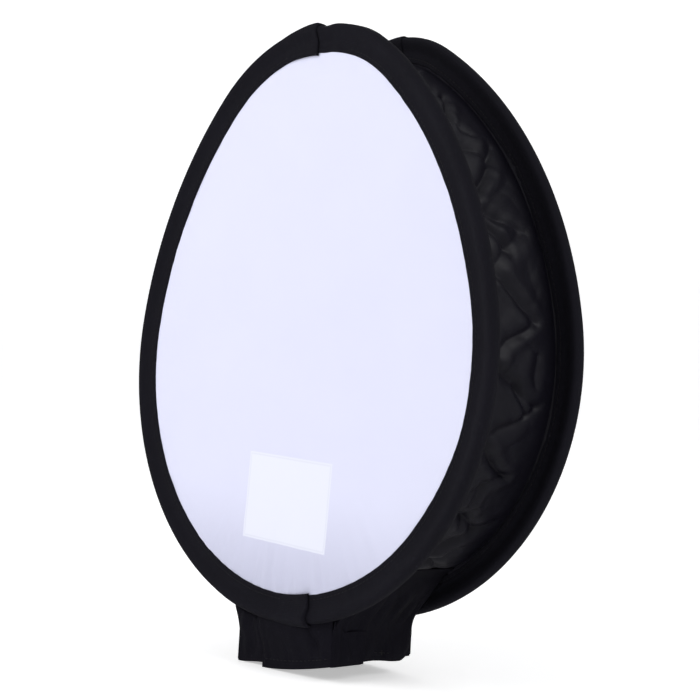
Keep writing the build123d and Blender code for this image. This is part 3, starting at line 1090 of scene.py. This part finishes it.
def neck_face(name, y_sign, rows=60, columns=110, seed=60):
    """The neck's front or rear cloth, from its hem up behind the hoop to the seam."""
    side_x, side_z = flare_path(200)
    share = np.linspace(-1, 1, columns)
    foot_x = share * NECK_HALF
    top_x = foot_x
    for _ in range(12):
        top = rim_foot(top_x) + 13.5 * MM
        top_x = 0.5 * top_x + 0.5 * share * np.interp(top, side_z, side_x)
    hem = hem_height(foot_x, y_sign * NECK_FACE)
    if y_sign < 0:
        hem = hem + NECK_LIFT * smooth(foot_x, -NECK_HALF, FLAP_LOW.x)
    z = hem + (top - hem) * np.linspace(0, 1, rows)[:, None]
    x = share * (np.interp(z, side_z, side_x) - 0.1 * MM)
    over = (z - rim_foot(x)) / MM
    corner = smooth(np.abs(share), 0.92, 1)
    turn_in = smooth(over, 5.5, 13.5)
    back = 0.0 if y_sign < 0 else NECK_BACK * (1 - smooth(over, -14, 2))
    depth = NECK_FACE + back + turn_in * 3.4 * MM
    fold = sizes().gather_depth * gathers(x, z, seed)
    below = 1 - smooth(over, -3, 1.0)
    free = smooth(z - hem, 0, 9 * MM) * below * (1 - corner)
    swell = 2.4 * MM * smooth(over, -20, -2.0) * below * (1 - smooth(x, FLAP_LOW.x - 4 * MM, FLAP_LOW.x))
    bulge = free * (0.9 * MM + fold)
    hem_wave = 0.3 * MM * ripple(x / (9 * MM), 0 * z, seed + 5) * (1 - corner)
    y = y_sign * (depth + np.clip(bulge, -0.6 * MM, 2.2 * MM) + hem_wave * below)
    if y_sign < 0:
        y = np.where(x > FLAP_LOW.x, np.maximum(y, LOOP_HIGH.y + 0.25 * MM), y - swell)
    return grid_object(name, np.stack([x, y, z], -1), foot_x, z[:, columns // 2])


def flare_path(rows):
    """The neck's side from hem to wall, as x and z at even steps."""
    knots = np.array(
        [(39.4, 0), (39.3, 8), (39.3, 16), (39.5, 22), (40.3, 27), (42.6, 32.5), (46.6, 37.8),
         (51.8, 43.3), (57.3, 50.2), (64.0, 59.6), (69.8, 62.9), (71.9, 64.2)]
    ) * MM
    run = np.concatenate([[0], np.cumsum(np.hypot(*np.diff(knots, axis=0).T))])
    at = np.linspace(0, run[-1], rows)
    fine = np.linspace(0, run[-1], 400)
    raw = [np.interp(fine, run, knots[:, k]) for k in range(2)]
    kernel = np.hanning(45) / np.hanning(45).sum()
    eased = [np.convolve(np.pad(a, 22, mode="edge"), kernel, "valid") for a in raw]
    for a, b in zip(eased, raw):
        a[0], a[-1] = b[0], b[-1]
    return np.interp(at, fine, eased[0]), np.interp(at, fine, eased[1])


def neck_side(name, hand, seed, rows=90, columns=90):
    """A side of the neck, gathered at its foot and flared out to the wall above."""
    x, z = flare_path(rows)
    y = np.linspace(-NECK_FACE - 0.4 * MM, NECK_FACE + NECK_BACK + 0.6 * MM, columns)
    step_x, step_z = np.gradient(x), np.gradient(z)
    length = np.hypot(step_x, step_z)
    out_x, out_z = step_z / length, -step_x / length
    hem = 0.8 * MM + hem_height(hand * NECK_HALF, y)
    z_grid = z[:, None] + (hem[None, :]) * (1 - smooth(z, 0, 30 * MM))[:, None]
    fold = sizes().gather_depth * gathers(y[None, :] + 0 * z_grid, z_grid, seed)
    window = smooth(z_grid - hem[None, :], -1 * MM, 6 * MM) * (1 - smooth(z[:, None], 46 * MM, 58 * MM))
    corner = smooth(y, y[0], y[0] + 3 * MM) * (1 - smooth(y, y[-1] - 3 * MM, y[-1]))
    corner = corner[None, :]
    back = NECK_BACK * smooth(y, NECK_FACE - 3 * MM, y[-1]) * smooth(z[:, None], 19 * MM, 35 * MM)
    push = window * corner * (0.5 * MM + 1.5 * fold)
    wave = 0.35 * MM * ripple(y[None, :] / (8 * MM) + 0 * z_grid, 0 * z_grid, seed + 7) * corner
    push = push + wave * (1 - smooth(z[:, None], 4 * MM, 12 * MM))
    points = np.stack(
        [
            hand * (x[:, None] + out_x[:, None] * push),
            y[None, :] - back,
            z_grid + out_z[:, None] * push,
        ],
        -1,
    )
    return grid_object(name, points, y, np.cumsum(length))


class SOFTBOX_OT_neck(bpy.types.Operator):
    """Make the gathered neck, its elastics, hems and loop tape"""

    bl_idname = "softbox.neck"
    bl_label = "Neck"

    def execute(self, context):
        front = thicken(neck_face("neck_front_cloth", -1, seed=60), NECK_THICKNESS)
        dress(front, cloth_of("neck"), "front_frame", ["neck_front_panel"])
        rear = thicken(neck_face("neck_rear_cloth", 1, seed=70), NECK_THICKNESS)
        dress(rear, cloth_of("neck"), "rear_frame", ["neck_rear_panel"])
        for side, hand, seed in (("left", -1, 80), ("right", 1, 90)):
            gusset = thicken(neck_side(f"neck_{side}_side_cloth", hand, seed), NECK_THICKNESS)
            dress(gusset, cloth_of("neck"), None, [f"neck_{side}_gusset"])
            follow_wall(gusset)
            self.elastic(side, hand)
            self.hem(side, hand)
        self.loop_tape()
        return {"FINISHED"}

    def elastic(self, side, hand):
        """A ribbed elastic inside the foot of one side."""
        low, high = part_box(f"neck_{side}_elastic")
        y = np.linspace(low.y, high.y, 160)
        z = np.linspace(low.z, high.z, 14)
        Z, Y = np.meshgrid(z, y, indexing="ij")
        Z = Z + hem_height(hand * NECK_HALF, Y) * 0.85
        ribs = 0.12 * MM * np.abs(np.sin(Z / (1.6 * MM) * math.pi))
        waves = 0.25 * MM * np.sin(Y / (4.2 * MM) * 2 * math.pi)
        X = (low.x + high.x) / 2 - hand * (0.2 * MM - waves - ribs)
        band = thicken(
            grid_object(f"neck_{side}_elastic_band", np.stack([X, Y, Z], -1), y, z), 0.45 * MM
        )
        webbing = material_of("Elastic webbing", cloth_material, (0.012, 0.012, 0.013), **WEBBING)
        dress(band, webbing, None, [f"neck_{side}_elastic"])
        follow_wall(band)

    def hem(self, side, hand):
        """The stitched hem line along the foot of one side."""
        y = np.linspace(-28, 28, 60) * MM
        z = hem_height(hand * NECK_HALF, y) + 5.4 * MM
        path = np.stack([hand * (NECK_HALF + 0.75 * MM) + 0 * y, y, z], -1)
        row = line_stitches(
            f"neck_{side}_hem_stitches", path, (hand, 0, 0), sizes().stitch_pitch,
            length=2.2 * MM, width=0.45 * MM, rise=0.2 * MM,
        )
        row.data.materials.append(sewing_thread())
        follow_wall(row)

    def loop_tape(self):
        """The soft half of the flap's fastener, sewn on the neck's front."""
        x = np.linspace(LOOP_LOW.x, LOOP_HIGH.x, 40)
        z = np.linspace(LOOP_LOW.z, LOOP_HIGH.z, 30)
        Z, X = np.meshgrid(z, x, indexing="ij")
        Y = LOOP_LOW.y + 0.17 * MM + 0.05 * MM * ripple(X / (3 * MM), Z / (3 * MM), 101)
        tape = thicken(grid_object("neck_loop_tape_pad", np.stack([X, Y, Z], -1), x, z), 0.3 * MM)
        loops = material_of("Loop tape", grip_material, (0.016, 0.016, 0.018), 0.55)
        dress(tape, loops, "front_frame", ["neck_loop_tape"])


def corner_round(past):
    """How far cloth falls back round the neck's corner, at a distance past where it starts to."""
    past = np.clip(past, 0, 0.75 * CORNER_RADIUS)
    return CORNER_RADIUS - np.sqrt(CORNER_RADIUS**2 - past**2)


class SOFTBOX_OT_flap(bpy.types.Operator):
    """Make the closing flap, its sewn root, its hook tape and its stitching"""

    bl_idname = "softbox.flap"
    bl_label = "Closing flap"

    def execute(self, context):
        x = np.linspace(FLAP_LOW.x, FLAP_HIGH.x - CORNER_CUT, 130)
        t = np.linspace(0, 1, 56)[:, None]
        hem = hem_height(x, FLAP_LOW.y)[None, :]
        top = np.minimum(rim_foot(x) + 0.8 * MM, FLAP_TOP)[None, :]
        z = hem + (top - hem) * t
        free_edge = smooth(x[None, :] - FLAP_LOW.x, 0, 7 * MM)
        fold_edge = 1 - smooth(x[None, :], FLAP_HIGH.x - 7 * MM, FLAP_HIGH.x)
        upper = smooth(z - top, -22 * MM, -2 * MM)
        fold = sizes().gather_depth * gathers(x[None, :] + 0 * z, z, 110)
        body = smooth(z - hem, 0, 7 * MM) * (1 - 0.8 * upper)
        slant = 25 * MM + 0.55 * (28 * MM - z)
        pinch = -1.5 * MM * np.exp(-np.abs(x - slant) / (2.2 * MM)) * smooth(z, 11 * MM, 20 * MM)
        out = fold_edge * (free_edge * body * (0.5 * MM + 0.9 * fold) + pinch)
        out += upper * (5.6 * MM * (1 - 0.95 * smooth(x[None, :], 20 * MM, FLAP_HIGH.x - 1 * MM)))
        out += 0.3 * MM * fold_edge * ripple(x[None, :] / (8 * MM) + 0 * z, z / (30 * MM), 114)
        rounding = corner_round(x[None, :] - (FLAP_HIGH.x - CORNER_RADIUS))
        y = (FLAP_LOW.y + FLAP_HIGH.y) / 2 - 0.1 * MM - np.maximum(out, -0.25 * MM) + rounding
        flap = thicken(
            grid_object("neck_flap_cloth", np.stack([x[None, :] + 0 * z, y, z], -1), x, z[:, 60]),
            FLAP_THICKNESS,
        )
        dress(flap, cloth_of("neck"), "flap", ["neck_flap"])
        self.edge_stitches(x, y, z)
        self.root()
        self.hook_tape()
        return {"FINISHED"}

    def edge_stitches(self, x, y, z):
        """Stitch lines beside the flap's free edge and above its hem."""
        surface = np.stack([x[None, :] + 0 * z, y - 0.38 * MM, z], -1)
        beside, above = surface[3:-2, 5], surface[10, 5:-3]
        for label, path in (("free_edge", beside), ("hem", above)):
            row = line_stitches(
                f"flap_{label}_stitches", path, (0, -1, 0), sizes().stitch_pitch,
                length=2.2 * MM, width=0.45 * MM, rise=0.18 * MM,
            )
            dress(row, sewing_thread(), "flap")

    def root(self):
        """The end of the flap that is sewn to the neck's right side."""
        y = np.linspace(FLAP_LOW.y + CORNER_CUT, ROOT_HIGH.y, 90)
        t = np.linspace(0, 1, 50)[:, None]
        hem = hem_height(NECK_HALF, y)[None, :]
        top = ROOT_HIGH.z + 6.6 * MM * (1 - smooth(y, ROOT_LOW.y, ROOT_LOW.y + 9 * MM))[None, :]
        height = hem + (top - hem) * t
        fold = sizes().gather_depth * gathers(y[None, :] + 0 * height, height, 90)
        body = smooth(height - hem, 0, 6 * MM) * smooth(y[None, :], ROOT_LOW.y, ROOT_LOW.y + 3 * MM)
        push = body * np.maximum(0.5 * MM + 1.25 * fold, -0.2 * MM)
        flare = 1.6 * MM * smooth(height, 25 * MM, 34 * MM)
        turned = corner_round(FLAP_LOW.y + CORNER_RADIUS - y)
        x = ROOT_HIGH.x - FLAP_THICKNESS / 2 + push + flare - turned
        points = np.stack([x, y[None, :] + 0 * height, height], -1)
        up = t[:, 0] * ROOT_HIGH.z
        root = thicken(grid_object("neck_flap_root_cloth", points, y, up), FLAP_THICKNESS)
        dress(root, cloth_of("neck"), None, ["neck_flap_root"])
        follow_wall(root)

    def hook_tape(self):
        """The stiff half of the fastener, on the flap's back."""
        x = np.linspace(HOOK_LOW.x, HOOK_HIGH.x, 40)
        z = np.linspace(HOOK_LOW.z, HOOK_HIGH.z, 30)
        Z, X = np.meshgrid(z, x, indexing="ij")
        Y = HOOK_HIGH.y - 0.17 * MM + 0.03 * MM * ripple(X / (2 * MM), Z / (2 * MM), 120)
        tape = thicken(grid_object("flap_hook_tape_pad", np.stack([X, Y, Z], -1), x, z), 0.3 * MM)
        hooks = material_of("Hook tape", grip_material, (0.012, 0.012, 0.013), 1.1)
        dress(tape, hooks, "flap", ["flap_hook_tape"])


class SOFTBOX_OT_stage(bpy.types.Operator):
    """Set up the pale floor, the soft lights and the camera"""

    bl_idname = "softbox.stage"
    bl_label = "Stage"

    camera_place = Vector((0.5678, -0.5340, 0.1388))
    camera_turn = (math.radians(46.29), math.radians(-3.41), math.radians(3.21))
    camera_lens = 68.09

    def floor(self):
        """A pale floor that sweeps up into a backdrop."""
        run = np.linspace(-4, 4, 17)
        profile = [(-20.0, 0.0), (-2.0, 0.0), (2.5, 0.0)]
        for a in np.linspace(0, math.pi / 2, 15)[1:]:
            profile.append((2.5 + 1.5 * math.sin(a), 1.5 - 1.5 * math.cos(a)))
        profile.append((4.0, 5.0))
        profile = np.array(profile)
        az = self.camera_turn[0]
        ahead, right = np.array([-math.sin(az), math.cos(az)]), np.array([math.cos(az), math.sin(az)])
        ground = profile[:, 0, None, None] * ahead + 5 * run[None, :, None] * right
        height = np.broadcast_to(profile[:, 1, None, None], ground[..., :1].shape)
        points = np.concatenate([ground, height], -1)
        floor = grid_object("floor_sweep", points, run, profile[:, 0])
        material, tree, shader = new_material(
            "Pale floor", Roughness=0.9, Specular_IOR_Level=0.1, Emission_Color=(1, 1, 1, 1),
            Emission_Strength=bpy.context.scene.softbox_stage.floor_glow,
        )
        mottle = node(tree, "ShaderNodeTexNoise", Vector=object_place(tree), Scale=3.0, Detail=2.0)
        tone = mix(tree, mottle.outputs[0], (0.93, 0.93, 0.93, 1), (0.95, 0.95, 0.95, 1))
        feed(tree, shader.inputs["Base Color"], tone)
        floor.data.materials.append(material)
        floor.visible_glossy = False

    def lamp(self, name, azimuth, elevation, distance, size, power):
        """A square soft light aimed at the middle of the softbox."""
        target = Vector((0, 0, 0.19))
        a, e = math.radians(azimuth), math.radians(elevation)
        back = Vector((math.sin(a) * math.cos(e), -math.cos(a) * math.cos(e), math.sin(e)))
        data = bpy.data.lights.new(name, "AREA")
        data.shape, data.size, data.energy = "SQUARE", size, power
        light = bpy.data.objects.new(name, data)
        light.location = target + back * distance
        light.rotation_mode = "QUATERNION"
        light.rotation_quaternion = (-back).to_track_quat("-Z", "Y")
        bpy.context.collection.objects.link(light)

    def camera(self):
        """The camera, a little turned about its own axis."""
        az, el, roll = self.camera_turn
        back = Vector((math.sin(az) * math.cos(el), -math.cos(az) * math.cos(el), math.sin(el)))
        right = (-back).cross(Vector((0, 0, 1))).normalized()
        up = right.cross(-back)
        tilted_right = right * math.cos(roll) + up * math.sin(roll)
        tilted_up = up * math.cos(roll) - right * math.sin(roll)
        turn = Matrix((tilted_right, tilted_up, back)).transposed()
        data = bpy.data.cameras.new("camera")
        data.lens, data.sensor_width = self.camera_lens, 36
        eye = bpy.data.objects.new("camera", data)
        eye.matrix_world = Matrix.Translation(self.camera_place) @ turn.to_4x4()
        bpy.context.collection.objects.link(eye)
        bpy.context.scene.camera = eye

    def execute(self, context):
        stage = context.scene.softbox_stage
        self.floor()
        self.lamp("key light", -16, 34, 1.9, 1.3, stage.key_power)
        self.lamp("fill light", 97, 42, 1.8, 0.9, stage.fill_power)
        world = bpy.data.worlds.new("white surround")
        world.use_nodes = True
        tree = world.node_tree
        shade = tree.nodes["Background"]
        shade.inputs["Color"].default_value = (0.97, 0.975, 1.0, 1)
        seen = node(tree, "ShaderNodeLightPath").outputs["Is Camera Ray"]
        extra = maths(tree, "MULTIPLY", seen, 1.0 - stage.surround)
        feed(tree, shade.inputs["Strength"], maths(tree, "ADD", extra, stage.surround))
        context.scene.world = world
        context.scene.view_settings.view_transform = "Standard"
        self.camera()
        return {"FINISHED"}


OPERATORS = (
    SOFTBOX_OT_hoops,
    SOFTBOX_OT_bindings,
    SOFTBOX_OT_diffuser,
    SOFTBOX_OT_back,
    SOFTBOX_OT_wall,
    SOFTBOX_OT_neck,
    SOFTBOX_OT_flap,
    SOFTBOX_OT_stage,
)


class SOFTBOX_PT_panel(bpy.types.Panel):
    """Sizes, colours and steps of the softbox"""

    bl_idname = "SOFTBOX_PT_panel"
    bl_label = "Flash softbox"
    bl_space_type = "VIEW_3D"
    bl_region_type = "UI"
    bl_category = "Softbox"

    def draw(self, context):
        scene = context.scene
        for title, group in (
            ("Sizes", scene.softbox_sizes),
            ("Colours", scene.softbox_colours),
            ("Stage", scene.softbox_stage),
        ):
            box = self.layout.box()
            box.label(text=title)
            for name in group.__class__.__annotations__:
                box.prop(group, name)
        for operator in OPERATORS:
            self.layout.operator(operator.bl_idname)


CLASSES = (SoftboxSizes, SoftboxColours, SoftboxStage, *OPERATORS, SOFTBOX_PT_panel)


def register():
    for cls in CLASSES:
        bpy.utils.register_class(cls)
    bpy.types.Scene.softbox_sizes = PointerProperty(type=SoftboxSizes)
    bpy.types.Scene.softbox_colours = PointerProperty(type=SoftboxColours)
    bpy.types.Scene.softbox_stage = PointerProperty(type=SoftboxStage)


def unregister():
    for name in ("softbox_sizes", "softbox_colours", "softbox_stage"):
        delattr(bpy.types.Scene, name)
    for cls in reversed(CLASSES):
        bpy.utils.unregister_class(cls)


def main():
    register()
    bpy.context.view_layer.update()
    bpy.ops.softbox.hoops()
    bpy.ops.softbox.bindings()
    bpy.ops.softbox.diffuser()
    bpy.ops.softbox.back()
    bpy.ops.softbox.wall()
    bpy.ops.softbox.neck()
    bpy.ops.softbox.flap()
    bpy.ops.softbox.stage()
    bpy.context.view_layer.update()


if __name__ == "__main__":
    main()
